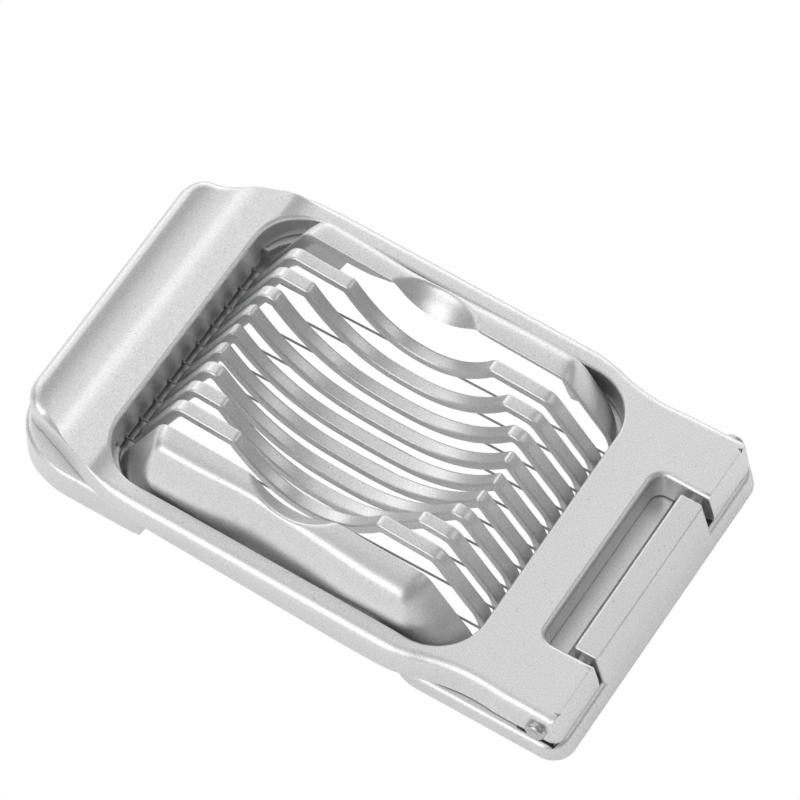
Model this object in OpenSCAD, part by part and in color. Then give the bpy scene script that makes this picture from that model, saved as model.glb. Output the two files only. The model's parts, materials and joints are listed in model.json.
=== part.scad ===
// Wire egg slicer: a cast base with a slatted egg rest, and a hinged cutting frame strung with ten wires.
// Origin: middle of the footprint, on the surface it stands on. +X points to the hinge, -X to the handle.

/* [Overall] */
// Length of the base, handle end to hinge end
body_l = 133.6; // [133:0.2:136]
// Width of the cutting frame across its rails
body_w = 82; // [81:0.5:84]

/* [Egg rest] */
// Distance from one slat to the next, and from one wire to the next
pitch = 5.3; // [5.1:0.1:5.4]
// Width of one slat
slat_w = 3; // [2.6:0.1:3.2]
// Height of a slat's cross-section
slat_t = 3.2; // [2.6:0.1:3.6]
// Height of the rest's shoulder on the handle side
crest_high = 25.4; // [24:0.2:26]
// Height of the rest's shoulder on the hinge side
crest_low = 21.8; // [21:0.2:23]
// Depth of the egg hollow at its middle
hollow_depth = 14.6; // [12:0.2:15]
// Half length of the egg hollow along the wires
hollow_l = 31.2; // [28:0.2:31.6]

/* [Base] */
// Height of the base's rim under the handle
rim_high = 8.1; // [7.6:0.1:8.1]
// Height of the base's rim under the hinge
rim_low = 4.4; // [4:0.1:4.4]
// Wall thickness of both castings
wall = 2.6; // [2.2:0.1:2.8]

/* [Cutting frame] */
// Height of the flat of the handle
handle_z = 15.8; // [15.4:0.1:16.4]
// Height of the hinge plate's top
hinge_z = 12.8; // [12.6:0.1:13.2]
// Diameter of the cutting wires
wire_d = 0.5; // [0.4:0.05:0.6]

/* [Hinge pin] */
// Diameter of the hinge pin
pin_d = 3; // [2.8:0.1:3.2]
// Diameter of the pin's riveted heads
head_d = 4.4; // [4:0.1:4.8]

/* [Hidden] */
n_slats = 9;
n_wires = n_slats + 1;

half_l = body_l / 2;
half_w = body_w / 2;
run_gap = 0.3;              // gap between the castings when closed

// hinge
pin_x = 60;
pin_z = 8.2;
bore_clear = 0.05;          // radial clearance of the pin in both castings
ear_w = 38;                 // half width over the ears
ear_in = 22.4;              // half width of the slot between the ears
slot_x = 51.4;
lug_x = 57.8;
lug_w = 20.7;
lug_z = 12.5;
head_h = 1.5;
end_draft = 0.28;           // run of the base's hinge-end face for each unit of height
swing_r = 5.9;                // radius of the trough in which the ears swing
swing_w = 38.3;
solid_x = 52.4;             // the base is solid from here to the hinge end
ear_tip = 64.95;
ear_r = 2;

// egg rest, seen from the side: foot, shoulder and crest stations along X
foot_a = -45.6;
shoulder_a = -36;
crest_a = -32.6;
crest_b = 25.4;
shoulder_b = 28.6;
knee_b = 38.1;
foot_b = 39.6;
foot_z = 3.2;
hollow_x = -3.5;            // middle of the hollow along X
hollow_half_w = 31;         // half width at which the hollow runs out on the side blocks
block_in = (n_slats / 2 + 0.5) * pitch;
block_out = 35.6;
block_r = 11;

// arches in the base's sides, hidden behind the frame's rails
arch_a = -33;
arch_b = 24;
arch_z = 9.6;
arch_run = 4;
arch_y = 30;

// window of the frame
win_a = -46;
win_b = 40.1;
win_w = 36.3;
win_r = 11;

// underside of the frame and top of the base's rim share one slope
slope_a = -38;
slope_b = 18;
frame_low = rim_low + run_gap;
frame_high = rim_high + run_gap;

// wires and their combs
wire_za = 5.2;              // height at the handle-side comb
wire_zb = 6.1;              // height at the hinge-side wall
comb_a = -48.6;
comb_t = 2.4;
comb_z = 4.3;
ferrule_l = 2.2;
ferrule_d = 1.7;
trough_a = -51.6;
trough_t = 2.2;

function arc(c, r, a0, a1, n = 6) =
    [for (i = [0:n]) let (a = a0 + (a1 - a0) * i / n) c + r * [cos(a), sin(a)]];

// Top line of the rest between its crests
function top_z(x) = crest_high + (crest_low - crest_high) * (x - crest_a) / (crest_b - crest_a);

// Depth and half length of the hollow at a distance y from the middle
function depth(y) = hollow_depth * (1 - pow(min(1, abs(y) / hollow_half_w), 3.3));
function reach(y) = hollow_l * (1 - pow(min(1, abs(y) / hollow_half_w), 2));
function bowl(y) = 3 - min(1, abs(y) / block_in);
function hollow_z(x, y) =
    top_z(x) - depth(y) * (1 - pow(min(1, abs((x - hollow_x) / reach(y))), bowl(y)));

// Side view of the rest, from foot to foot, without the hollow
rest_top = [[foot_a, foot_z], [shoulder_a, crest_high - 2.6], [shoulder_a + 0.9, crest_high - 1.1],
            [shoulder_a + 2.4, crest_high - 0.2], [crest_a, crest_high], [crest_b, crest_low],
            [crest_b + 1.6, crest_low - 0.5], [shoulder_b, crest_low - 2.1], [knee_b, 7.8], [foot_b, foot_z]];

// Underside of the rest: its top line drawn in by one slat's height
rest_low = [for (p = rest_top) [p[0] * 0.93 + 0.1, max(foot_z - 1, p[1] - slat_t)]];

// Side view of the space over the hollow at a distance y, sunk and widened by grow
function over_hollow(y, grow = 0, n = 24) = concat(
    [for (i = [0:n]) let (t = 2 * i / n - 1, x = hollow_x + reach(y) * t)
     [x + grow * t, hollow_z(x, y) - grow]],
    [[hollow_x + reach(y) + grow, 2 * crest_high], [hollow_x - reach(y) - grow, 2 * crest_high]]);

// Plan of the base on one side, from the handle end round to the hinge end
side_w = 39.4;
waist_w = 37.2;
function mirrored(side) = concat(side, [for (i = [len(side) - 1:-1:0]) [side[i][0], -side[i][1]]]);
base_side = concat(arc([-53.4, 25.4], 13.4, 180, 112, 7), [[-50, side_w], [-33.5, side_w]],
                   [[-30.5, waist_w], [25, waist_w], [31, side_w]],
                   arc([half_l - 5, side_w - 5], 5, 90, 0, 5));

// Plan of the frame on one side: handle corner, flare to the rails, narrowing to the ears
frame_side = concat(arc([-59.6, 26.6], 6.7, 180, 100, 6),
                    [[-58, 34.2], [-53, 36], [-48, 37.8], [-43, 39.4], [-39, 40.5], [-34, half_w]],
                    [[25, half_w], [30, 40.4], [36, 38.9], [41, 37.9], [46, 37.7]],
                    [[50, ear_w]], arc([ear_tip - ear_r, ear_w - ear_r], ear_r, 90, 0, 4));

// Side view of the frame, handle lip first
frame_top = [[-66.3, frame_high], [-66.3, handle_z - 2.2], [-65.6, handle_z - 0.4], [-64.6, handle_z],
             [-63.4, handle_z - 0.5], [-61.5, handle_z - 1.5], [-57.5, handle_z - 2], [-54, handle_z - 1.2],
             [-51.5, handle_z - 0.2], [-50, handle_z], [-46.8, handle_z], [-44.6, handle_z - 0.4],
             [-41.5, 14.7], [30, hinge_z], [63.3, hinge_z]];
ear_face = [[64.8, 7.5], [ear_tip, 6], [64.85, 5.3], [64.4, 4.8], [63.5, frame_low]];
frame_low_line = [[slope_b, frame_low], [slope_a, frame_high]];

module prism_y(points, y0, y1) {
    translate([0, y1, 0]) rotate([90, 0, 0]) linear_extrude(y1 - y0) polygon(points);
}

module prism_z(points, z0, z1) {
    translate([0, 0, z0]) linear_extrude(z1 - z0) polygon(points);
}

module rounded_plan(x0, x1, w, r, z0, z1) {
    prism_z(concat(arc([x0 + r, w - r], r, 180, 90), arc([x1 - r, w - r], r, 90, 0),
                   arc([x1 - r, r - w], r, 0, -90), arc([x0 + r, r - w], r, -90, -180)), z0, z1);
}

module along_y(r, y0, y1) {
    translate([0, y0, 0]) rotate([-90, 0, 0]) cylinder(r = r, h = y1 - y0, $fn = 48);
}

// One slat: a bar that follows the rest's side view and dips through the hollow
module slat(y) {
    translate([0, y, 0]) difference() {
        prism_y(rest_top, -slat_w / 2, slat_w / 2);
        prism_y(over_hollow(y), -slat_w, slat_w);
        difference() {
            prism_y(concat([[rest_low[0][0], 0]], rest_low, [[rest_low[9][0], 0]]), -slat_w, slat_w);
            prism_y(over_hollow(y, slat_t), -2 * slat_w, 2 * slat_w);
        }
    }
}

// Section across a side block, from its inner edge down its rounded back
function block_section(inset) =
    let (w = block_out - block_in - inset, y0 = block_in - min(inset, 1), h = crest_high + 1.4 - foot_z - inset)
    concat([[y0, 0], [y0, foot_z + h]],
           [for (i = [1:8]) let (a = 90 - 90 * i / 8)
            [block_in + w * pow(cos(a), 0.8), foot_z + h * pow(sin(a), 0.7)]],
           [[block_in + w, 0]]);

// Envelope of a side block, or the space inside it when inset is the wall thickness
module block_solid(inset) {
    side = inset > 0 ? rest_low : rest_top;
    intersection() {
        translate([foot_a - 5, 0, 0]) rotate([90, 0, 90]) linear_extrude(foot_b - foot_a + 10)
            polygon(block_section(inset));
        prism_y(concat([[side[0][0], 0]], side, [[side[9][0], 0]]), 0, half_w);
        rounded_plan(foot_a + inset, foot_b - inset, block_out - inset, block_r, -1, crest_high + 5);
    }
}

// Side block: a shell, open below and towards the slats, bitten by the end of the egg hollow
module side_block() {
    difference() {
        block_solid(0);
        translate([0, 0, -0.01]) block_solid(wall);
        translate([hollow_x, 18.7, 29.05]) sphere(r = 13.4, $fn = 48);
    }
}

// Rim and deck that carry the rest
module base_tray() {
    deck_line = [[-half_l, rim_high], [slope_a, rim_high], [slope_b, rim_low],
                 [half_l - end_draft * rim_low, rim_low]];
    difference() {
        intersection() {
            prism_z(mirrored(base_side), 0, rim_high);
            prism_y(concat([[-half_l, 0]], deck_line, [[half_l, 0]]), -half_w, half_w);
        }
        // hollow underside
        intersection() {
            prism_z([for (p = mirrored(base_side)) [p[0] * 0.955, p[1] * 0.925]], -1, rim_high);
            prism_y(concat([[-half_l, -1]], [for (p = deck_line) [min(p[0], solid_x), p[1] - 2.2]],
                           [[solid_x, -1]]), -half_w, half_w);
        }
        // opening under the egg rest, and the trough for the handle-side comb
        rounded_plan(foot_a, foot_b, block_out - 1, block_r, -1, rim_high + 1);
        translate([trough_a, -block_in - 1.2, foot_z]) cube([-trough_a + foot_a + 1, 2 * block_in + 2.4, rim_high]);
        // trough in which the ears swing
        translate([pin_x, 0, pin_z]) along_y(swing_r, -swing_w, swing_w);
    }
    // floor and far wall of the trough, which tie the slats' feet together
    translate([trough_a - 2, -block_in - 3, foot_z - trough_t])
        cube([foot_a - trough_a + 3.6, 2 * block_in + 6, trough_t]);
    translate([trough_a - 2, -block_in - 3, foot_z - 1]) cube([2, 2 * block_in + 6, rim_high - foot_z]);
    // bar that ties the slats' feet together at the hinge side
    translate([foot_b - 1.6, -block_out + 2, 1]) cube([4, 2 * block_out - 4, foot_z - 0.6]);
}

// Hinge lug between the ears, flush with the base's end face and drilled for the pin
module hinge_lug() {
    lug_side = [[lug_x, 0.6], [lug_x, lug_z - 0.5], [lug_x + 0.5, lug_z],
                [half_l - end_draft * lug_z, lug_z], [half_l - end_draft * 0.6, 0.6]];
    prism_y(lug_side, -lug_w, lug_w);
}

// Arch through one side of the base, below the side block
module side_arch() {
    prism_y([[arch_a, -1], [arch_a, 0], [arch_a + arch_run, arch_z], [arch_b - arch_run, arch_z],
             [arch_b, 0], [arch_b, -1]], arch_y, half_w);
}

module base_casting() {
    color("gainsboro") difference() {
        union() {
            base_tray();
            for (k = [0:n_slats - 1]) slat((k - (n_slats - 1) / 2) * pitch);
            side_block();
            mirror([0, 1, 0]) side_block();
            hinge_lug();
        }
        side_arch();
        mirror([0, 1, 0]) side_arch();
        translate([pin_x, 0, pin_z]) along_y(pin_d / 2 + bore_clear, -half_w, half_w);
    }
}

// Height of the wires above the base at a station along X
function wire_z(x) = wire_za + (wire_zb - wire_za) * (x - win_a) / (win_b - win_a);
function wire_y(k) = (k - (n_wires - 1) / 2) * pitch;

module cutting_frame() {
    color("silver") difference() {
        union() {
            difference() {
                intersection() {
                    prism_z(mirrored(frame_side), 0, handle_z + 1);
                    prism_y(concat(frame_top, ear_face, frame_low_line), -half_w, half_w);
                }
                rounded_plan(win_a, win_b, win_w, win_r, 0, handle_z + 1);
                // hollow underside of the handle
                translate([-63.4, -30.5, 0]) cube([14.8, 61, handle_z - 2 - wall]);
                translate([-48.7, -33.5, 0]) cube([win_a + 46.1 + 1.2, 67, handle_z - wall]);
                // hollow underside of the hinge plate, where the wires end
                translate([win_b + 2.4, -block_in - 2.6, 0])
                    cube([slot_x - win_b - 4.9, 2 * block_in + 5.2, hinge_z - wall]);
                // slot between the ears
                translate([slot_x, -ear_in, 0]) cube([half_l, 2 * ear_in, handle_z]);
            }
            // handle-side comb that hangs below the plate
            translate([comb_a, -block_in - 0.4, comb_z])
                cube([comb_t, 2 * block_in + 0.8, handle_z - wall - comb_z + 0.1]);
        }
        // a kerf for each wire through the comb and through the hinge-side wall
        for (k = [0:n_wires - 1]) {
            translate([comb_a - 1, wire_y(k) - 0.45, 0]) cube([comb_t + 2, 0.9, wire_z(comb_a) + 0.45]);
            translate([win_b - 1, wire_y(k) - 0.45, 0]) cube([4, 0.9, wire_z(win_b) + 0.5]);
        }
        translate([pin_x, 0, pin_z]) along_y(pin_d / 2 + bore_clear, -half_w, half_w);
    }
}

// Hinge pin: a plain rod with a riveted head at each ear
module hinge_pin() {
    color("lightgray") translate([pin_x, 0, pin_z]) {
        along_y(pin_d / 2, -ear_w - 0.2, ear_w + 0.2);
        for (side = [0, 1]) mirror([0, side, 0]) translate([0, ear_w + 0.1, 0]) rotate([-90, 0, 0])
            rotate_extrude($fn = 48) polygon([[0, 0], [head_d / 2 - 0.1, 0], [head_d / 2, 0.2],
                [head_d / 2, head_h - 0.5], [head_d / 2 - 0.4, head_h - 0.1], [head_d / 2 - 0.9, head_h], [0, head_h]]);
    }
}

// Wire number k, from ferrule to ferrule
module wire(k) {
    xa = comb_a - 0.4 * ferrule_l;
    xb = win_b + 2.4 + 0.4 * ferrule_l;
    run = [xb - xa, wire_z(xb) - wire_z(xa)];
    color("dimgray") translate([xa, wire_y(k), wire_z(xa)])
        rotate([0, 90 - atan2(run[1], run[0]), 0]) cylinder(r = wire_d / 2, h = norm(run), $fn = 24);
}

// Crimped ferrules that hold the wires behind the comb, or behind the hinge-side wall
module ferrules(x) {
    color("darkgray") for (k = [0:n_wires - 1])
        translate([x, wire_y(k), wire_z(x + ferrule_l / 2)]) rotate([0, 90, 0]) difference() {
            cylinder(r = ferrule_d / 2, h = ferrule_l, $fn = 32);
            translate([0, 0, -1]) cylinder(r = wire_d / 2 + 0.02, h = ferrule_l + 2, $fn = 24);
        }
}

module handle_ferrules() { ferrules(comb_a - ferrule_l); }
module hinge_ferrules() { ferrules(win_b + 2.4); }

base_casting();
cutting_frame();
hinge_pin();
handle_ferrules();
hinge_ferrules();
wire(0);  // wire_01
wire(1);  // wire_02
wire(2);  // wire_03
wire(3);  // wire_04
wire(4);  // wire_05
wire(5);  // wire_06
wire(6);  // wire_07
wire(7);  // wire_08
wire(8);  // wire_09
wire(9);  // wire_10
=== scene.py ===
import json
import math

import bpy
from mathutils import Matrix, Vector


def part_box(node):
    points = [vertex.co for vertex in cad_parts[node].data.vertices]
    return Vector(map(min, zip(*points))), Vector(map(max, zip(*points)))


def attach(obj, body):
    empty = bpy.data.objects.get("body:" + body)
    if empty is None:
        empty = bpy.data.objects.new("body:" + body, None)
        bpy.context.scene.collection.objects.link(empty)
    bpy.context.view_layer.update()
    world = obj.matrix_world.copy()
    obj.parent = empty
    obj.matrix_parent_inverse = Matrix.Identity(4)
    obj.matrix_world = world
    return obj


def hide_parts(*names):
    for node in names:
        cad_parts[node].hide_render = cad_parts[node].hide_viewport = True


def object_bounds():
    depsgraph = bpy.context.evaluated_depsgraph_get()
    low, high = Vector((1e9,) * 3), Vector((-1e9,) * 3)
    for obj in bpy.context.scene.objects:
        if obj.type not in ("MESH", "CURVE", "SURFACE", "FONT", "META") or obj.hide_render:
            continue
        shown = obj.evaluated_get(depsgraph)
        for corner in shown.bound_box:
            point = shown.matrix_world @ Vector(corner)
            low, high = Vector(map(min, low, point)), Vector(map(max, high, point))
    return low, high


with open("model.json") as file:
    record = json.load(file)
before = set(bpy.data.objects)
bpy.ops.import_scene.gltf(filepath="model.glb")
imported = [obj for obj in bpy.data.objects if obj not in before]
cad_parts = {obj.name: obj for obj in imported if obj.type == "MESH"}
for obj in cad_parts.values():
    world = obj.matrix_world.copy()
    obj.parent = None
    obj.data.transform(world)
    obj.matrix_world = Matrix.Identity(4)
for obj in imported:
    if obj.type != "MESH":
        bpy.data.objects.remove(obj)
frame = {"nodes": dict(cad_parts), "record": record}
cadLow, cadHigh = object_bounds()
print("frame loaded")

mm = 0.001


def boxMm(node):
    low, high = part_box(node)
    return low / mm, high / mm


baseLow, baseHigh = boxMm("base_casting")
frameLow, frameHigh = boxMm("cutting_frame")
pinHigh = boxMm("hinge_pin")[1]
pinAt = Vector(frame["record"]["behaviour"]["joints"][0]["pos_m"]) / mm
wireNodes = sorted(name for name in frame["nodes"] if name.startswith("wire_"))
wireBoxes = [boxMm(name) for name in wireNodes]
wireYs = sorted((low.y + high.y) / 2 for low, high in wireBoxes)
pitch = (wireYs[-1] - wireYs[0]) / (len(wireYs) - 1)
slopeStart, slopeEnd = -38, 18      # between these the seam of base and frame slopes down to the hinge


# pieces are modelled in millimetres and brought to metres when finished
def activate(piece):
    bpy.ops.object.select_all(action="DESELECT")
    piece.select_set(True)
    bpy.context.view_layer.objects.active = piece


def applied(piece, kind, **settings):
    activate(piece)
    modifier = piece.modifiers.new(kind.lower(), kind)
    for key, value in settings.items():
        setattr(modifier, key, value)
    bpy.ops.object.modifier_apply(modifier=modifier.name)
    return piece


def upright(u, v, w):       # outline in plan, thickness along Z
    return Vector((u, v, w))


def sideways(u, v, w):      # outline seen from the side, thickness along Y
    return Vector((u, w, v))


def plate(name, outline, low, high, turn=upright):
    # a flat outline, drawn as one face and extruded
    bpy.ops.object.select_all(action="DESELECT")
    bpy.ops.mesh.primitive_circle_add(vertices=len(outline), radius=1, fill_type="NGON")
    piece = bpy.context.object
    piece.name = piece.data.name = name
    for vertex, (u, v) in zip(piece.data.vertices, outline):
        vertex.co = turn(u, v, low)
    bpy.ops.object.mode_set(mode="EDIT")
    bpy.ops.mesh.select_all(action="SELECT")
    bpy.ops.mesh.extrude_region_move(TRANSFORM_OT_translate={"value": turn(0, 0, high - low)})
    bpy.ops.mesh.select_all(action="SELECT")
    bpy.ops.mesh.normals_make_consistent(inside=False)
    bpy.ops.object.mode_set(mode="OBJECT")
    return piece


def cut(piece, *cutters, operation="DIFFERENCE"):
    for cutter in cutters:
        applied(piece, "BOOLEAN", operation=operation, solver="EXACT", object=cutter)
        bpy.data.objects.remove(cutter)
    return piece


def arc(centre, radius, start, end, count=8):
    angles = [math.radians(start + (end - start) * i / count) for i in range(count + 1)]
    return [(centre[0] + radius * math.cos(a), centre[1] + radius * math.sin(a)) for a in angles]


def roundedPlan(x0, x1, halfWidth, radius, count=10):
    corner = [((x0 + radius, halfWidth - radius), 180), ((x1 - radius, halfWidth - radius), 90),
              ((x1 - radius, radius - halfWidth), 0), ((x0 + radius, radius - halfWidth), -90)]
    return [point for centre, start in corner for point in arc(centre, radius, start, start - 90, count)]


def mirrored(side):
    return side + [(x, -y) for x, y in reversed(side)]


def smoothLine(points, step):
    # points along a smooth curve through the given ones
    line = []
    ends = [points[0]] + list(points) + [points[-1]]
    for a, b, c, d in zip(ends, ends[1:], ends[2:], ends[3:]):
        count = max(1, round(math.dist(b, c) / step))
        for i in range(count):
            t = i / count
            line.append(tuple(0.5 * (2 * q + (r - p) * t + (2 * p - 5 * q + 4 * r - s) * t * t
                                     + (3 * q - p - 3 * r + s) * t ** 3)
                              for p, q, r, s in zip(a, b, c, d)))
    return line + [tuple(points[-1])]


def heightOn(line, x):
    # height of a side-view line at x
    if x <= line[0][0]:
        return line[0][1]
    for (x0, z0), (x1, z1) in zip(line, line[1:]):
        if x <= x1:
            return z0 + (z1 - z0) * (x - x0) / max(x1 - x0, 1e-9)
    return line[-1][1]


def smoothStep(value):
    t = min(1, max(0, value))
    return t * t * (3 - 2 * t)


def ramp(x, start, run):
    return smoothStep((x - start) / run)


def softMin(a, b, width):
    blend = max(width - abs(a - b), 0) / width
    return min(a, b) - blend * blend * width / 4


def creases(piece, least=35):
    # each sharp edge with its middle and the two face normals at it
    mesh = piece.data
    sides = {}
    for polygon in mesh.polygons:
        for key in polygon.edge_keys:
            sides.setdefault(key, []).append(polygon)
    found = []
    for edge in mesh.edges:
        pair = sides.get(tuple(sorted(edge.vertices)), [])
        if len(pair) == 2 and pair[0].normal.angle(pair[1].normal, 0) > math.radians(least):
            a, b = (mesh.vertices[i].co for i in edge.vertices)
            outward = (pair[1].center - pair[0].center).dot(pair[0].normal) < 0
            found.append((edge.index, (a + b) / 2, pair[0].normal.copy(), pair[1].normal.copy(), outward))
    return found


def roundEdges(piece, widthAt, segments=4, least=35):
    # bevels the sharp edges, each by the width that widthAt gives for its place
    found = [(index, widthAt(middle, one, other, outward))
             for index, middle, one, other, outward in creases(piece, least)]
    widest = max(width for index, width in found)
    weights = piece.data.attributes.new("bevel_weight_edge", "FLOAT", "EDGE")
    for index, width in found:
        weights.data[index].value = width / widest
    return applied(piece, "BEVEL", limit_method="WEIGHT", width=widest, segments=segments,
                   use_clamp_overlap=False, loop_slide=False, miter_outer="MITER_SHARP")


def slices(piece, stations, across="x"):
    # cuts the mesh into strips, so that it can follow a curve
    normal = (1, 0, 0) if across == "x" else (0, 0, 1)
    activate(piece)
    bpy.ops.object.mode_set(mode="EDIT")
    for station in stations:
        bpy.ops.mesh.select_all(action="SELECT")
        bpy.ops.mesh.bisect(plane_co=[station * part for part in normal], plane_no=normal)
    bpy.ops.object.mode_set(mode="OBJECT")


def leanEnd(piece, faceAt, start, end):
    # the end face at x = end leans to faceAt(z); nothing moves before start
    for vertex in piece.data.vertices:
        if vertex.co.x > start:
            vertex.co.x = start + (vertex.co.x - start) * (faceAt(vertex.co.z) - start) / (end - start)


def finished(piece, body, material, weighted=True):
    # smooth shading, metres, and a place on the body
    activate(piece)
    bpy.ops.object.shade_smooth_by_angle(angle=math.radians(40))
    if weighted:
        applied(piece, "WEIGHTED_NORMAL", keep_sharp=True, weight=50)
    piece.data.transform(Matrix.Scale(mm, 4))
    piece.data.materials.clear()
    piece.data.materials.append(material)
    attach(piece, body)
    return piece


skinDims = {
    "grainScale": 3200, "grainTone": 0.65, "bump": 0.22,
    "slowScale": 70, "patchScale": 420, "patchShare": 0.6,
    "speckScale": 900, "speckSize": 0.17, "speckFieldScale": 310, "speckField": 0.63, "speckDip": 0.5,
    "reliefDepth": 0.00004, "lineScale": (4200, 90, 4200), "lineStrength": 0.35,
}


def makeCastSkin():
    # grain, specks and slow tone of a lacquered casting, as colour, roughness and height
    d = skinDims
    group = bpy.data.node_groups.new("castSkin", "ShaderNodeTree")
    face = group.interface
    base = face.new_socket("Metal", in_out="INPUT", socket_type="NodeSocketColor")
    base.default_value = (0.6, 0.6, 0.6, 1)
    for name, value in [("Grain Scale", d["grainScale"]), ("Grain Tone", 0.05), ("Speck Tone", 0.25),
                        ("Slow Tone", 0.04), ("Roughness", 0.36), ("Roughness Spread", 0.08)]:
        face.new_socket(name, in_out="INPUT", socket_type="NodeSocketFloat").default_value = value
    face.new_socket("Colour", in_out="OUTPUT", socket_type="NodeSocketColor")
    face.new_socket("Roughness", in_out="OUTPUT", socket_type="NodeSocketFloat")
    face.new_socket("Height", in_out="OUTPUT", socket_type="NodeSocketFloat")
    nodes, links = group.nodes, group.links
    given, result = nodes.new("NodeGroupInput"), nodes.new("NodeGroupOutput")
    place = nodes.new("ShaderNodeTexCoord").outputs["Object"]

    def noise(scale, detail, linked=None):
        node = nodes.new("ShaderNodeTexNoise")
        node.inputs["Scale"].default_value = scale
        node.inputs["Detail"].default_value = detail
        links.new(place, node.inputs["Vector"])
        if linked is not None:
            links.new(linked, node.inputs["Scale"])
        return node.outputs["Fac"]

    def combine(operation, a, b):
        node = nodes.new("ShaderNodeMath")
        node.operation = operation
        for socket, value in zip(node.inputs, (a, b)):
            if isinstance(value, (int, float)):
                socket.default_value = value
            else:
                links.new(value, socket)
        return node.outputs[0]

    grain = noise(d["grainScale"], 2, given.outputs["Grain Scale"])
    slow = noise(d["slowScale"], 3)
    patches = noise(d["patchScale"], 4)
    specks = nodes.new("ShaderNodeTexVoronoi")
    specks.inputs["Scale"].default_value = d["speckScale"]
    links.new(place, specks.inputs["Vector"])
    sparse = combine("GREATER_THAN", noise(d["speckFieldScale"], 1), d["speckField"])
    speck = combine("MULTIPLY", combine("LESS_THAN", specks.outputs["Distance"], d["speckSize"]), sparse)
    grainPart = combine("MULTIPLY", combine("SUBTRACT", grain, 0.5), given.outputs["Grain Tone"])
    slowPart = combine("MULTIPLY", combine("SUBTRACT", slow, 0.5), given.outputs["Slow Tone"])
    tone = combine("ADD", combine("ADD", 1.0, grainPart), slowPart)
    tone = combine("SUBTRACT", tone, combine("MULTIPLY", speck, given.outputs["Speck Tone"]))
    shade = nodes.new("ShaderNodeVectorMath")
    shade.operation = "SCALE"
    links.new(given.outputs["Metal"], shade.inputs[0])
    links.new(tone, shade.inputs["Scale"])
    links.new(shade.outputs[0], result.inputs["Colour"])
    spread = combine("MULTIPLY", combine("SUBTRACT", patches, 0.5), given.outputs["Roughness Spread"])
    links.new(combine("ADD", given.outputs["Roughness"], spread), result.inputs["Roughness"])
    height = combine("ADD", grain, combine("MULTIPLY", patches, d["patchShare"]))
    links.new(combine("SUBTRACT", height, combine("MULTIPLY", speck, d["speckDip"])), result.inputs["Height"])
    return group


castSkin = makeCastSkin()


def castMaterial(name, metal, roughness, metallic=0.95):
    # cast metal under a clear lacquer
    material = bpy.data.materials.new(name)
    material.use_nodes = True
    nodes, links = material.node_tree.nodes, material.node_tree.links
    shader = nodes["Principled BSDF"]
    skin = nodes.new("ShaderNodeGroup")
    skin.node_tree = castSkin
    skin.inputs["Metal"].default_value = (*metal, 1)
    skin.inputs["Roughness"].default_value = roughness
    skin.inputs["Grain Tone"].default_value = skinDims["grainTone"]
    relief = nodes.new("ShaderNodeBump")
    relief.inputs["Strength"].default_value = skinDims["bump"]
    relief.inputs["Distance"].default_value = skinDims["reliefDepth"]
    links.new(skin.outputs["Colour"], shader.inputs["Base Color"])
    links.new(skin.outputs["Roughness"], shader.inputs["Roughness"])
    links.new(skin.outputs["Height"], relief.inputs["Height"])
    links.new(relief.outputs["Normal"], shader.inputs["Normal"])
    shader.inputs["Metallic"].default_value = metallic
    return material


def brushedMaterial(name, metal, roughness):
    # metal dressed on a belt, with fine lines along Y
    material = castMaterial(name, metal, roughness, metallic=0.9)
    nodes, links = material.node_tree.nodes, material.node_tree.links
    place = nodes.new("ShaderNodeTexCoord")
    stretch = nodes.new("ShaderNodeMapping")
    stretch.inputs["Scale"].default_value = skinDims["lineScale"]
    lines = nodes.new("ShaderNodeTexNoise")
    lines.inputs["Scale"].default_value = 1
    lines.inputs["Detail"].default_value = 3
    links.new(place.outputs["Object"], stretch.inputs["Vector"])
    links.new(stretch.outputs["Vector"], lines.inputs["Vector"])
    relief = nodes.new("ShaderNodeBump")
    relief.inputs["Strength"].default_value = skinDims["lineStrength"]
    relief.inputs["Distance"].default_value = skinDims["reliefDepth"]
    links.new(lines.outputs["Fac"], relief.inputs["Height"])
    links.new(relief.outputs["Normal"], nodes["Principled BSDF"].inputs["Normal"])
    return material


steelDims = {"darker": 0.86, "smoother": 0.8, "rougher": 1.2, "markStrength": 0.2, "markDepth": 0.00002}


def steelMaterial(name, metal, roughness, lineScale):
    # drawn or polished steel with fine marks
    d = steelDims
    material = bpy.data.materials.new(name)
    material.use_nodes = True
    nodes, links = material.node_tree.nodes, material.node_tree.links
    shader = nodes["Principled BSDF"]
    shader.inputs["Metallic"].default_value = 1
    place = nodes.new("ShaderNodeTexCoord")
    stretch = nodes.new("ShaderNodeMapping")
    stretch.inputs["Scale"].default_value = lineScale
    marks = nodes.new("ShaderNodeTexNoise")
    marks.inputs["Scale"].default_value = 1
    marks.inputs["Detail"].default_value = 3
    tone = nodes.new("ShaderNodeMix")
    tone.data_type = "RGBA"
    tone.inputs["A"].default_value = (*[c * d["darker"] for c in metal], 1)
    tone.inputs["B"].default_value = (*metal, 1)
    rough = nodes.new("ShaderNodeMapRange")
    rough.inputs["To Min"].default_value = roughness * d["smoother"]
    rough.inputs["To Max"].default_value = roughness * d["rougher"]
    relief = nodes.new("ShaderNodeBump")
    relief.inputs["Strength"].default_value = d["markStrength"]
    relief.inputs["Distance"].default_value = d["markDepth"]
    links.new(place.outputs["Object"], stretch.inputs["Vector"])
    links.new(stretch.outputs["Vector"], marks.inputs["Vector"])
    links.new(marks.outputs["Fac"], tone.inputs["Factor"])
    links.new(tone.outputs["Result"], shader.inputs["Base Color"])
    links.new(marks.outputs["Fac"], rough.inputs["Value"])
    links.new(rough.outputs["Result"], shader.inputs["Roughness"])
    links.new(marks.outputs["Fac"], relief.inputs["Height"])
    links.new(relief.outputs["Normal"], shader.inputs["Normal"])
    return material


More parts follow.
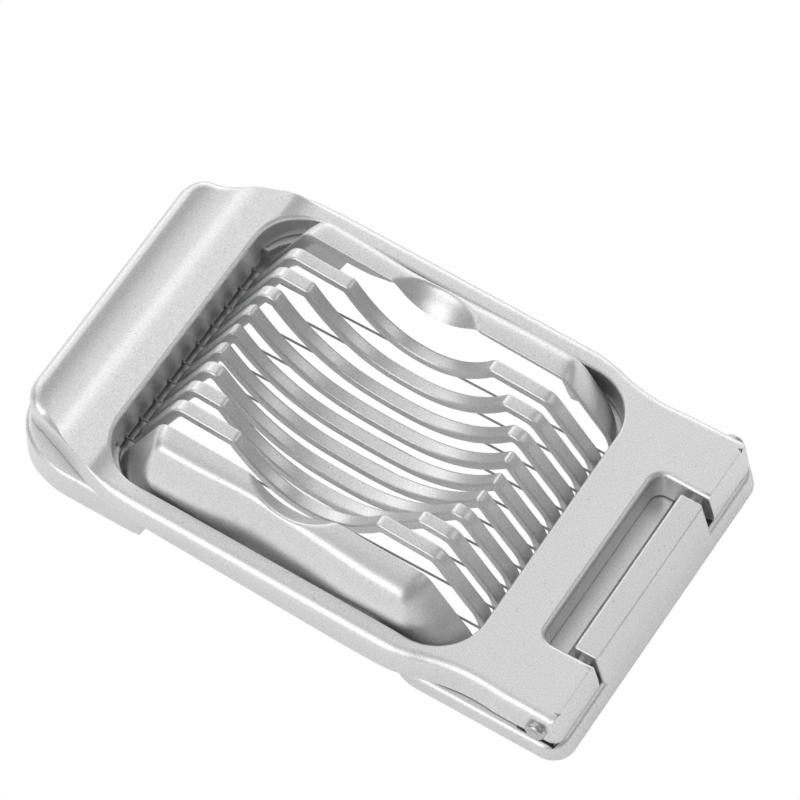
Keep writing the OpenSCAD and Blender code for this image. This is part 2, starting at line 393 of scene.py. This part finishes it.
castAluminium = castMaterial("castAluminium", (0.8, 0.8, 0.805), 0.38)
castAluminiumFrame = castMaterial("castAluminiumFrame", (0.81, 0.81, 0.815), 0.38)
dressedAluminium = brushedMaterial("dressedAluminium", (0.73, 0.73, 0.735), 0.32)
polishedSteel = steelMaterial("polishedSteel", (0.62, 0.62, 0.62), 0.25, (900, 900, 900))
wireSteel = steelMaterial("wireSteel", (0.42, 0.42, 0.43), 0.3, (300, 6000, 6000))
ferruleSteel = steelMaterial("ferruleSteel", (0.5, 0.5, 0.5), 0.35, (1500, 1500, 1500))
print("finishes made")


frameDims = {
    "flat": 10.0,           # height of the flat blank, before it is bent to the side view
    "wall": 2.6, "through": 2,      # how far a cutter passes through
    "handleEnd": -65.9, "handleCorner": 6.7, "handleHalf": 33.3,
    "windowStart": -46.0, "windowEnd": 40.1, "windowHalf": 36.3, "windowRadius": 11.0,
    "slotStart": 51.4, "slotHalf": 22.4, "slotRadius": 2.6,
    "earHalf": 38.0, "earRadius": 2.4,
    "earFace": [(4.7, 64.9), (6.0, 64.95), (7.5, 64.8), (12.8, 63.3)],   # height, reach along X
    "endLeanFrom": 61.5,
    "railShoulder": 2.5, "lipRound": 2.6, "plateEdge": 0.35, "hingeEdge": 2.2, "cornerEdge": 1.9,
    # start and run along X of each change in the edge's rounding
    "lipFade": (-60, 8), "shoulderRise": (-47, 11), "shoulderFall": (25, 16), "hingeRise": (25, 10),
    "cornerRise": (50, 12),
    "windowRound": 0.6, "handleWindowRound": 0.9, "slotRound": 1.2,
    "earRound": 0.25, "undersideRound": 0.3, "earHeelRound": 0.8,
    "lowAtHandle": 8.4, "lowAtHinge": 4.7,
    "handlePocket": (-63.2, -48.6, 30.5, 3), "pocketMargin": 2.4, "hingePocketSide": 5, "hingePocketRadius": 2,
    "handleTop": 15.75, "stepTo": 14.75, "hingeTop": 12.8,
    "combStart": -48.6, "combThickness": 2.4, "combTop": 13.3, "combLow": 4.3, "combSide": 0.4,
    "kerf": 0.9, "kerfTop": 5.2, "toothRound": 0.25,
}


def frameTopLine():
    d = frameDims
    top = d["handleTop"]
    flat = top - 0.25
    points = [(frameLow.x, top), (-64.2, top), (-63.4, top - 0.04), (-62.6, top - 0.22),
              (-61.4, top - 0.56), (-60, top - 0.82), (-58.3, top - 0.98), (-56.9, top - 1),
              (-56.1, top - 0.96), (-55.3, top - 0.84), (-54.5, top - 0.66), (-53.7, top - 0.48),
              (-52.9, top - 0.34), (-52.1, top - 0.27), (-51.3, flat), (-48.5, flat), (-45.2, flat),
              (-44.4, flat - 0.14), (-42.6, d["stepTo"] + 0.14),
              (-40.6, d["stepTo"] - 0.16), (-37, d["stepTo"] - 0.32), (-20, 14.1), (0, 13.6), (15, 13.2),
              (28, 12.84), (32, d["hingeTop"]), (frameHigh.x, d["hingeTop"])]
    return smoothLine(points, 0.4)


def frameLowLine():
    high, low = frameDims["lowAtHandle"], frameDims["lowAtHinge"]
    return [(frameLow.x, high), (slopeStart, high), (slopeEnd, low), (frameHigh.x, low)]


def frameOutline():
    d = frameDims
    radius = d["handleCorner"]
    corner = arc((d["handleEnd"] + radius, d["handleHalf"] - radius), radius, 180, 98, 16)
    flare = smoothLine([corner[-1], (-58, 34.1), (-55, 35.15), (-51, 36.7), (-47, 38.2), (-43, 39.55),
                        (-39.5, 40.5), (-36, 40.93), (-32, frameHigh.y)], 0.5)[1:]
    narrowing = smoothLine([(23, frameHigh.y), (27, 40.9), (31, 40.2), (35, 39.1), (39, 38.2), (43, 37.75),
                            (47, 37.75), (51, d["earHalf"]), (57, d["earHalf"]),
                            (frameHigh.x - d["earRadius"] - 0.5, d["earHalf"])], 0.6)
    end = arc((frameHigh.x - d["earRadius"], d["earHalf"] - d["earRadius"]), d["earRadius"], 90, 0, 6)
    return mirrored(corner + flare + narrowing + end)


def frameEdgeWidth(middle, one, other, outward):
    d = frameDims
    top = max(one.z, other.z) > 0.9 and middle.z > d["flat"] - 0.1
    if not top:
        standing = abs(one.z) < 0.1 and abs(other.z) < 0.1
        if standing or not outward:
            return 0.0
        return d["earHeelRound"] if middle.x > frameHigh.x - 0.1 and middle.z < 0.1 else d["undersideRound"]
    x, y = middle.x, abs(middle.y)
    if d["windowStart"] - 0.1 < x < d["windowEnd"] + 0.1 and y < d["windowHalf"] + 0.1:
        handleSide = smoothStep((d["windowStart"] + 9 - x) / 6)
        return d["windowRound"] + (d["handleWindowRound"] - d["windowRound"]) * handleSide
    if x > d["slotStart"] - 0.1 and y < d["slotHalf"] + 0.1:
        return d["slotRound"]
    tip = smoothStep((x - frameHigh.x + d["earRadius"]) / d["earRadius"])
    return d["railShoulder"] + (d["earRound"] - d["railShoulder"]) * tip


def outerEdgeShare(x):
    # how much of the rail's full rounding the outer edge keeps at x
    d = frameDims
    if x < d["windowStart"]:
        width = d["lipRound"] + (d["plateEdge"] - d["lipRound"]) * ramp(x, *d["lipFade"])
    else:
        shoulder = ramp(x, *d["shoulderRise"]) * (1 - ramp(x, *d["shoulderFall"]))
        far = d["plateEdge"] + (d["hingeEdge"] - d["plateEdge"]) * ramp(x, *d["hingeRise"])
        far += (d["cornerEdge"] - far) * ramp(x, *d["cornerRise"])
        width = far + (d["railShoulder"] - far) * shoulder
    return width / d["railShoulder"]


def shrinkOuterEdge(piece, outline):
    # draws the rounded edge in towards its sharp corner, so that the width runs evenly along the curves
    d = frameDims
    corners = [Vector(point) for point in outline]
    runs = [(a, b - a) for a, b in zip(corners, corners[1:] + corners[:1]) if (b - a).length > 1e-6]
    for vertex in piece.data.vertices:
        depth = d["flat"] - vertex.co.z
        place = vertex.co.xy
        if depth > d["railShoulder"] + 0.01:
            continue
        nearest = min((a + run * min(1, max(0, (place - a).dot(run) / run.length_squared)) for a, run in runs),
                      key=lambda point: (point - place).length_squared)
        if (nearest - place).length > d["railShoulder"] + 0.01 or nearest.x > frameHigh.x - 0.02:
            continue
        share = outerEdgeShare(nearest.x)
        moved = nearest + (place - nearest) * share
        vertex.co = (moved.x, moved.y, d["flat"] - depth * share)


def bendToSideView(piece, topLine, lowLine, flat, lower=0.8, upper=3.2):
    for vertex in piece.data.vertices:
        share = smoothStep((vertex.co.z - lower) / (flat - lower - upper))
        top, low = heightOn(topLine, vertex.co.x), heightOn(lowLine, vertex.co.x)
        vertex.co.z += low * (1 - share) + (top - flat) * share


def makeCuttingFrame():
    d = frameDims
    piece = plate("cuttingFrame", frameOutline(), 0, d["flat"])
    low, high, roof = -d["through"], d["flat"] + d["through"], d["flat"] - d["wall"]
    windowPlan = roundedPlan(d["windowStart"], d["windowEnd"], d["windowHalf"], d["windowRadius"], 14)
    window = plate("window", windowPlan, low, high)
    radius, half = d["slotRadius"], d["slotHalf"]
    slotSide = arc((d["slotStart"] + radius, half - radius), radius, 180, 90, 8) + [(frameHigh.x + 5, half)]
    slot = plate("slot", mirrored(slotSide), low, high)
    handlePocket = plate("handlePocket", roundedPlan(*d["handlePocket"], 4), low, roof)
    pocketPlan = roundedPlan(d["windowEnd"] + d["pocketMargin"], d["slotStart"] - d["pocketMargin"],
                             wireYs[-1] + d["hingePocketSide"], d["hingePocketRadius"], 4)
    hingePocket = plate("hingePocket", pocketPlan, low, roof)
    cut(piece, window, slot, handlePocket, hingePocket)
    roundEdges(piece, frameEdgeWidth, segments=5)
    shrinkOuterEdge(piece, frameOutline())
    fine = [-66 + 0.6 * i for i in range(46)]       # close strips where the handle is scooped
    slices(piece, fine + list(range(-44, 34, 6)) + [32, 40, 50, 58, d["endLeanFrom"]])
    slices(piece, [1.5, 3, 4.5, 6], across="z")
    bendToSideView(piece, frameTopLine(), frameLowLine(), d["flat"])
    leanEnd(piece, lambda z: heightOn(d["earFace"], z), d["endLeanFrom"], frameHigh.x)
    return piece


cuttingFrame = makeCuttingFrame()
finished(cuttingFrame, "frame", castAluminiumFrame)
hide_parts("cutting_frame")
print("cutting frame made")


def makeComb():
    # the toothed wall under the handle that spaces the wires
    d = frameDims
    half = wireYs[-1] + pitch / 2 + d["combSide"]
    outline = [(-half, d["combTop"]), (-half, d["combLow"])]
    for y in wireYs:
        left, right = y - d["kerf"] / 2, y + d["kerf"] / 2
        outline += [(left, d["combLow"]), (left, d["kerfTop"])]
        outline += arc((y, d["kerfTop"]), d["kerf"] / 2, 180, 0, 6)[1:-1]
        outline += [(right, d["kerfTop"]), (right, d["combLow"])]
    outline += [(half, d["combLow"]), (half, d["combTop"])]
    piece = plate("wireComb", outline, d["combStart"], d["combStart"] + d["combThickness"],
                  turn=lambda u, v, w: Vector((w, u, v)))
    return roundEdges(piece, lambda middle, one, other, outward: d["toothRound"]
                      if outward and middle.z < 12 else 0, segments=3)


wireComb = makeComb()
finished(wireComb, "frame", castAluminiumFrame)
print("comb made")


# the egg rest has nine slats and two side blocks
restDims = {
    "slatWidth": 3.0, "slatHeight": 2.4, "slatRound": 0.5, "slatSink": 1.2, "slatStep": 0.25,
    "footA": -45.6, "crestA": -32.6, "crestB": 25.4, "footB": 39.6, "footZ": 3.2,
    "crestHigh": 25.4, "crestLow": 21.8,
    "hollowX": -3.5, "hollowDepth": 14.6, "hollowReach": 31.2, "hollowHalf": 31.0,
    "blockIn": 26.5, "blockOut": 35.6, "blockWall": 2.6, "cornerRadius": 11.0,
    "biteY": 18.7, "biteZ": 29.05, "biteRadius": 13.4,
    "topFlat": 1.6, "shoulderRound": 4.4, "shoulderPinch": 1.0, "shoulderGrow": 1.4, "wallLean": 72,
    "crestSoft": 2.0, "crestSpare": 0.6, "biteSoft": 2.4, "hollowSoft": 0.9, "slatSteps": 190,
    "thinFrom": -25, "thinRun": 12, "thinShare": 0.4, "innerEdge": 0.25,
    "archA": -33.0, "archB": 24.0, "archTop": 9.6, "archRun": 4, "archInside": 30, "archOutside": 42,
}


def restLine():
    d = restDims
    top, low = d["crestHigh"], d["crestLow"]
    foot = d["footZ"] - 0.8
    points = [(d["footA"], foot), (-44.1, 6.1), (-40, 14.4), (-37.2, 20.1), (-36.1, 22.3), (-35.2, 23.9),
              (-34, 25), (d["crestA"], top), (-28, 25.1), (0, 23.38), (20, 22.14),
              (d["crestB"] - 1, low + 0.06), (26.8, 21.45), (28.6, 20), (30.4, 17.7), (34.5, 12.5),
              (38.1, 7.8), (d["footB"], foot)]
    return smoothLine(points, 0.5)


def crestHeight(x):
    d = restDims
    return d["crestHigh"] + (d["crestLow"] - d["crestHigh"]) * (x - d["crestA"]) / (d["crestB"] - d["crestA"])


def hollowZ(x, y):
    d = restDims
    share = min(1, abs(y) / d["hollowHalf"])
    depth = d["hollowDepth"] * (1 - share ** 3.3)
    reach = d["hollowReach"] * (1 - share ** 2)
    bowl = 3 - min(1, abs(y) / d["blockIn"])
    away = abs(x - d["hollowX"]) / reach
    return crestHeight(x) - depth * (1 - away ** bowl)


def thinned(line, least):
    kept = [line[0]]
    for point in line[1:-1]:
        if math.dist(point, kept[-1]) >= least:
            kept.append(point)
    return kept + [line[-1]]


def slatOutline(y):
    # the side view of one slat: its top with the hollow, and a line drawn one slat's height inside it
    d = restDims
    line = restLine()
    x0, x1, count, thick = d["footA"], d["footB"], d["slatSteps"], d["slatHeight"]
    xs = [x0 + (x1 - x0) * i / count for i in range(count + 1)]
    tops = [softMin(heightOn(line, x), hollowZ(x, y), d["hollowSoft"]) for x in xs]
    lows = []
    for x in xs:
        near = [(px, pz) for px, pz in zip(xs, tops) if abs(px - x) < thick]
        lows.append(min(pz - math.sqrt(thick ** 2 - (px - x) ** 2) for px, pz in near))
    floor = d["footZ"] - d["slatSink"]
    lower = [(x, z) for x, z in zip(xs, lows) if z > floor]
    lower = [(lower[0][0] - 0.2, floor)] + lower + [(lower[-1][0] + 0.2, floor)]
    upper = [(x, max(z, floor)) for x, z in zip(xs, tops)]
    return thinned(upper, d["slatStep"]) + thinned(lower, d["slatStep"])[::-1]


def makeSlat(number, y):
    d = restDims
    half = d["slatWidth"] / 2
    piece = plate(f"restSlat_{number}", slatOutline(y), y - half, y + half, turn=sideways)
    return roundEdges(piece, lambda middle, one, other, outward: d["slatRound"]
                      if max(abs(one.y), abs(other.y)) > 0.9 and middle.z > d["footZ"] - 1 else 0, segments=3)


slatYs = [(a + b) / 2 for a, b in zip(wireYs, wireYs[1:])]
for number, y in enumerate(slatYs, 1):
    finished(makeSlat(number, y), "base", castAluminium)
print("slats made")


def blockSection():
    # share of the way along each stretch of a side block's section: flat top, shoulder, leaning wall, upright
    return ([("top", i / 4) for i in range(4)] + [("shoulder", i / 14) for i in range(14)]
            + [("wall", i / 12) for i in range(12)] + [("foot", i / 4) for i in range(5)])


def blockSurface(x, top, stretch, share):
    # a point on the outside of a side block, from its inner edge down its back
    d = restDims
    crest = crestHeight(x)
    radius = (d["shoulderRound"] - d["shoulderPinch"] * math.exp(-((x + 12) / 10) ** 2)
              + d["shoulderGrow"] * smoothStep(x / 22))
    lean = math.radians(d["wallLean"])
    shoulderY = d["blockIn"] + d["topFlat"]
    wallY, wallDrop = shoulderY + radius * math.sin(lean), radius * (1 - math.cos(lean))
    footDrop = wallDrop + (d["blockOut"] - wallY) * math.tan(lean)
    if stretch == "top":
        y, drop = d["blockIn"] + d["topFlat"] * share, 0
    elif stretch == "shoulder":
        y, drop = shoulderY + radius * math.sin(lean * share), radius * (1 - math.cos(lean * share))
    elif stretch == "wall":
        y, drop = wallY + (d["blockOut"] - wallY) * share, wallDrop + (footDrop - wallDrop) * share
    else:
        y, drop = d["blockOut"], footDrop + (crest - footDrop) * share
    into = max(0, y - (d["blockOut"] - d["cornerRadius"]))
    shift = d["cornerRadius"] - math.sqrt(max(0, d["cornerRadius"] ** 2 - into ** 2))
    middle, half = (d["footA"] + d["footB"]) / 2, (d["footB"] - d["footA"]) / 2
    x = middle + (x - middle) * (half - shift) / half
    z = softMin(top, crest + d["crestSpare"] - drop, d["crestSoft"])
    away = d["biteRadius"] ** 2 - (x - d["hollowX"]) ** 2 - (y - d["biteY"]) ** 2
    if away > 0:
        z = softMin(z, d["biteZ"] - math.sqrt(away), d["biteSoft"])
    return Vector((x, y, max(z, d["footZ"] - 2)))


def sideArch(side):
    # cutter for the low arch in the base's side
    d = restDims
    a, b, top = d["archA"], d["archB"], d["archTop"]
    outline = [(a, -3), (a, 0), (a + d["archRun"], top), (b - d["archRun"], top), (b, 0), (b, -3)]
    return plate("arch", outline, side * d["archInside"], side * d["archOutside"], turn=sideways)


def makeBlock(name, side):
    d = restDims
    line = thinned(smoothLine(restLine()[::3], 0.55), 0.5)
    section = blockSection()
    bpy.ops.object.select_all(action="DESELECT")
    bpy.ops.mesh.primitive_grid_add(x_subdivisions=len(line) - 1, y_subdivisions=len(section) - 1, size=2)
    piece = bpy.context.object
    piece.name = piece.data.name = name
    columns = len(line)
    for index, vertex in enumerate(piece.data.vertices):
        row, column = divmod(index, columns)
        vertex.co = blockSurface(*line[column], *section[row])
    if side < 0:
        for vertex in piece.data.vertices:
            vertex.co.y = -vertex.co.y
    activate(piece)
    bpy.ops.object.mode_set(mode="EDIT")
    bpy.ops.mesh.select_all(action="SELECT")
    bpy.ops.mesh.remove_doubles(threshold=0.0005)
    bpy.ops.mesh.normals_make_consistent(inside=False)
    bpy.ops.object.mode_set(mode="OBJECT")
    if sum(polygon.normal.z for polygon in piece.data.polygons) < 0:
        bpy.ops.object.mode_set(mode="EDIT")
        bpy.ops.mesh.flip_normals()
        bpy.ops.object.mode_set(mode="OBJECT")
    thick = piece.vertex_groups.new(name="thick")
    for vertex in piece.data.vertices:
        thin = smoothStep((vertex.co.x - d["thinFrom"]) / d["thinRun"])
        thick.add([vertex.index], 1 - thin * (1 - d["thinShare"]), "REPLACE")
    applied(piece, "SOLIDIFY", thickness=d["blockWall"], offset=-1, use_even_offset=False,
            vertex_group="thick", use_quality_normals=True)
    roundEdges(piece, lambda middle, one, other, outward: d["innerEdge"]
               if abs(middle.y) < d["blockIn"] + 0.05 and one.z + other.z > 0.3 else 0, segments=3, least=50)
    return cut(piece, sideArch(side))


for name, side in [("sideBlock_front", -1), ("sideBlock_back", 1)]:
    finished(makeBlock(name, side), "base", castAluminium, weighted=False)
print("side blocks made")


trayDims = {
    "flat": 9.0, "rimHigh": 8.1, "rimLow": 4.4, "sideHalf": 39.4, "waistHalf": 37.2, "deck": 2.4,
    "handleCorner": 13.4, "handleHalf": 38.8, "hingeCorner": 5,
    "topRound": 1.3, "innerRound": 0.6, "through": 2,
    "troughStart": -51.6, "troughDepth": 4.9, "troughSide": 1.2, "troughRadius": 1.5,
    "endDraft": 0.28, "endLeanFrom": 60, "swingRadius": 5.9, "swingHalf": 38.3, "solidFrom": 52.4,
    "bars": [("troughFloor", -53.4, -42.2, 32.0, 1.0, 3.2), ("hingeSideBar", 37.6, 42.2, 33.6, 1.0, 3.5)],
    "barRound": 0.6,
    "lugStart": 57.8, "lugHalf": 20.7, "lugTop": 12.5, "lugFoot": 0.4, "lugBack": 0.02,
}


def trayOutline():
    d = trayDims
    radius, tip, half, narrow = d["handleCorner"], d["hingeCorner"], d["sideHalf"], d["waistHalf"]
    corner = arc((baseLow.x + radius, d["handleHalf"] - radius), radius, 180, 112, 18)
    side = smoothLine([corner[-1], (-55.5, 38.75), (-52.5, 39.3), (-49, half)], 0.8)[1:]
    waist = smoothLine([(-35, half), (-33, 39.1), (-31.6, 38.3), (-30, 37.4), (-28, narrow)], 0.6)
    swell = smoothLine([(24, narrow), (26.5, 37.5), (29, 38.6), (31, 39.25), (33.5, half)], 0.6)
    end = arc((baseHigh.x - tip, half - tip), tip, 90, 0, 12)
    return mirrored(corner + side + waist + swell + end)


def trayEdgeWidth(middle, one, other, outward):
    d = trayDims
    if max(one.z, other.z) < 0.9 or middle.z < d["flat"] - 0.1:
        return 0
    inside = abs(middle.x) < 54 and abs(middle.y) < 35.5
    return d["innerRound"] if inside else d["topRound"]


def makeTray():
    d, r = trayDims, restDims
    piece = plate("baseTray", trayOutline(), 0, d["flat"])
    low, high = -d["through"], d["flat"] + d["through"]
    openingPlan = roundedPlan(r["footA"], r["footB"], r["blockOut"] - 1, r["cornerRadius"], 12)
    opening = plate("opening", openingPlan, low, high)
    troughPlan = roundedPlan(d["troughStart"], r["footA"] + 6, wireYs[-1] + pitch / 2 + d["troughSide"],
                             d["troughRadius"], 4)
    trough = plate("trough", troughPlan, d["flat"] - d["troughDepth"], high)
    undersidePlan = [(min(x * 0.955, d["solidFrom"]), y * 0.925) for x, y in trayOutline()]
    underside = plate("underside", undersidePlan, low, d["flat"] - d["deck"])
    cut(piece, underside, opening, trough)
    roundEdges(piece, trayEdgeWidth, segments=4)
    slices(piece, [slopeStart, -30, -20, -10, 0, 10, slopeEnd, d["endLeanFrom"]])
    rim = [(baseLow.x, d["rimHigh"]), (slopeStart, d["rimHigh"]),
           (slopeEnd, d["rimLow"]), (baseHigh.x, d["rimLow"])]
    for vertex in piece.data.vertices:
        vertex.co.z += (heightOn(rim, vertex.co.x) - d["flat"]) * smoothStep(vertex.co.z / (d["flat"] - 3))
    leanEnd(piece, lambda z: baseHigh.x - d["endDraft"] * z, d["endLeanFrom"], baseHigh.x)
    swing = plate("swing", arc((pinAt.x, pinAt.z), d["swingRadius"], 0, 360, 96)[:-1],
                  -d["swingHalf"], d["swingHalf"], turn=sideways)
    return cut(piece, swing, sideArch(-1), sideArch(1))


baseTray = makeTray()
finished(baseTray, "base", castAluminium)
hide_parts("base_casting")


def makeBar(name, x0, x1, half, z0, z1):
    piece = plate(name, [(x0, -half), (x1, -half), (x1, half), (x0, half)], z0, z1)
    return roundEdges(piece, lambda middle, one, other, outward: trayDims["barRound"], segments=3)


for bar in trayDims["bars"]:
    finished(makeBar(*bar), "base", castAluminium)


def makeLug():
    d = trayDims
    face, foot = baseHigh.x - d["lugBack"], d["lugFoot"]
    outline = [(d["lugStart"], foot), (d["lugStart"], d["lugTop"]),
               (face - d["endDraft"] * d["lugTop"], d["lugTop"]), (face - d["endDraft"] * foot, foot)]
    piece = plate("hingeLug", outline, -d["lugHalf"], d["lugHalf"], turn=sideways)

    def edgeWidth(middle, one, other, outward):
        if middle.z < 1:
            return 0
        if abs(middle.y) > d["lugHalf"] - 0.1:
            return 1.2 if middle.x > 64 else 0.5
        return 0.3 if middle.x > 60 else 0.7

    return roundEdges(piece, edgeWidth, segments=5)


hingeLug = makeLug()
finished(hingeLug, "base", castAluminium)
hingeLug.data.materials.append(dressedAluminium)
for polygon in hingeLug.data.polygons:
    polygon.material_index = 1 if polygon.normal.z > 0.95 else 0
print("base made")


pinDims = {
    "sides": 48,
    # depth from the end, radius
    "head": [(0.32, 0.9), (0.12, 1.15), (0, 1.45), (0.06, 1.75), (0.3, 2.05), (0.6, 2.2), (1.45, 2.2),
             (1.6, 2.1), (1.6, 1.5)],
}


def makePin():
    profile = [(pinHigh.y - depth, radius) for depth, radius in pinDims["head"]]
    stations = [(-y, r) for y, r in profile] + [(y, r) for y, r in reversed(profile)]
    bpy.ops.object.select_all(action="DESELECT")
    bpy.ops.mesh.primitive_circle_add(vertices=pinDims["sides"], radius=stations[0][1], fill_type="NGON",
                                      location=(pinAt.x, stations[0][0], pinAt.z), rotation=(math.pi / 2, 0, 0))
    piece = bpy.context.object
    piece.name = piece.data.name = "hingePin"
    bpy.ops.object.transform_apply(location=True, rotation=True, scale=True)
    bpy.ops.object.mode_set(mode="EDIT")
    bpy.ops.mesh.select_all(action="SELECT")
    for (y0, r0), (y1, r1) in zip(stations, stations[1:]):
        bpy.ops.mesh.extrude_region_move(TRANSFORM_OT_translate={"value": (0, y1 - y0, 0)})
        bpy.ops.transform.resize(value=(r1 / r0, 1, r1 / r0), center_override=(pinAt.x, y1, pinAt.z))
    bpy.ops.mesh.select_all(action="SELECT")
    bpy.ops.mesh.normals_make_consistent(inside=False)
    bpy.ops.object.mode_set(mode="OBJECT")
    return piece


hingePin = makePin()
finished(hingePin, "base", polishedSteel, weighted=False)
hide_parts("hinge_pin")


for name, node in frame["nodes"].items():
    if name.startswith("wire_") or name.endswith("ferrules"):
        isWire = name.startswith("wire_")
        for held in node.material_slots:
            held.material = wireSteel if isWire else ferruleSteel
print("pin and wires made")


stageDims = {
    "floorSize": 6.0, "floorDrop": 0.0002, "floorSeen": 1.0, "floorBounce": 0.95, "floorGlow": 0.2,
    "azimuth": 32.04, "elevation": 58.83, "distance": 1.16398, "lens": 257.7, "sensor": 36,
    "aside": 0.004237, "above": 0.013607, "forward": -0.0005,       # the camera's shift from the middle
}


def makeFloor():
    d = stageDims
    bpy.ops.object.select_all(action="DESELECT")
    bpy.ops.mesh.primitive_plane_add(size=d["floorSize"], location=(0, 0, cadLow.z - d["floorDrop"]))
    floor = bpy.context.object
    floor.name = "floor"
    material = bpy.data.materials.new("paleFloor")
    material.use_nodes = True
    nodes, links = material.node_tree.nodes, material.node_tree.links
    nodes.clear()
    seen, bounce = nodes.new("ShaderNodeEmission"), nodes.new("ShaderNodeBsdfDiffuse")
    glow, both = nodes.new("ShaderNodeEmission"), nodes.new("ShaderNodeAddShader")
    seen.inputs["Color"].default_value = (d["floorSeen"],) * 3 + (1,)
    glow.inputs["Color"].default_value = (d["floorGlow"],) * 3 + (1,)
    bounce.inputs["Color"].default_value = (d["floorBounce"],) * 3 + (1,)
    path, mix = nodes.new("ShaderNodeLightPath"), nodes.new("ShaderNodeMixShader")
    result = nodes.new("ShaderNodeOutputMaterial")
    links.new(bounce.outputs[0], both.inputs[0])
    links.new(glow.outputs[0], both.inputs[1])
    links.new(path.outputs["Is Camera Ray"], mix.inputs["Fac"])
    links.new(both.outputs[0], mix.inputs[1])
    links.new(seen.outputs[0], mix.inputs[2])
    links.new(mix.outputs[0], result.inputs["Surface"])
    floor.data.materials.append(material)


studioDims = {
    "ambient": 0.33,
    # direction, full inside this angle, gone past this one, strength
    "softBoxes": [((-0.60, 0.50, 0.62), 26, 48, 0.6),
                  ((-0.80, 0.42, 0.43), 6, 22, 0.6),
                  ((-0.25, -0.82, 0.51), 14, 32, 1.4),
                  ((-0.25, 0.95, 0.15), 12, 26, 1.0),
                  ((-0.25, -0.30, 0.92), 8, 30, 0.3),
                  ((0.58, 0.44, 0.68), 3, 16, 1.0)],
}


def makeStudio():
    d = studioDims
    scene = bpy.context.scene
    scene.world = scene.world or bpy.data.worlds.new("studio")
    scene.world.use_nodes = True
    nodes, links = scene.world.node_tree.nodes, scene.world.node_tree.links
    sky = nodes["Background"]
    sky.inputs["Color"].default_value = (1, 1, 1, 1)
    direction = nodes.new("ShaderNodeTexCoord").outputs["Generated"]
    total = None
    for towards, inner, outer, strength in d["softBoxes"]:
        along = nodes.new("ShaderNodeVectorMath")
        along.operation = "DOT_PRODUCT"
        along.inputs[1].default_value = Vector(towards).normalized()
        links.new(direction, along.inputs[0])
        share = nodes.new("ShaderNodeMapRange")
        share.interpolation_type = "SMOOTHSTEP"
        share.inputs["From Min"].default_value = math.cos(math.radians(outer))
        share.inputs["From Max"].default_value = math.cos(math.radians(inner))
        share.inputs["To Max"].default_value = strength
        links.new(along.outputs["Value"], share.inputs["Value"])
        add = nodes.new("ShaderNodeMath")
        add.inputs[0].default_value = d["ambient"]
        if total is not None:
            links.new(total, add.inputs[0])
        links.new(share.outputs["Result"], add.inputs[1])
        total = add.outputs["Value"]
    links.new(total, sky.inputs["Strength"])


makeFloor()
makeStudio()


def makeCamera():
    d = stageDims
    a, e = math.radians(d["azimuth"]), math.radians(d["elevation"])
    back = Vector((math.sin(a) * math.cos(e), -math.cos(a) * math.cos(e), math.sin(e)))
    right = Vector((math.cos(a), math.sin(a), 0))
    up = back.cross(right)
    place = back * d["distance"] + right * d["aside"] + up * d["above"] + Vector((d["forward"], 0, 0))
    bpy.ops.object.camera_add(location=place)
    camera = bpy.context.object
    camera.name = "camera"
    camera.rotation_euler = Matrix((right, up, back)).transposed().to_euler()
    camera.data.sensor_width = d["sensor"]
    camera.data.lens = d["lens"]
    camera.data.clip_start, camera.data.clip_end = 0.05, 20
    bpy.context.scene.camera = camera


makeCamera()
bpy.context.scene.view_settings.view_transform = "Standard"
bpy.context.scene.view_settings.look = "None"
print("stage set")
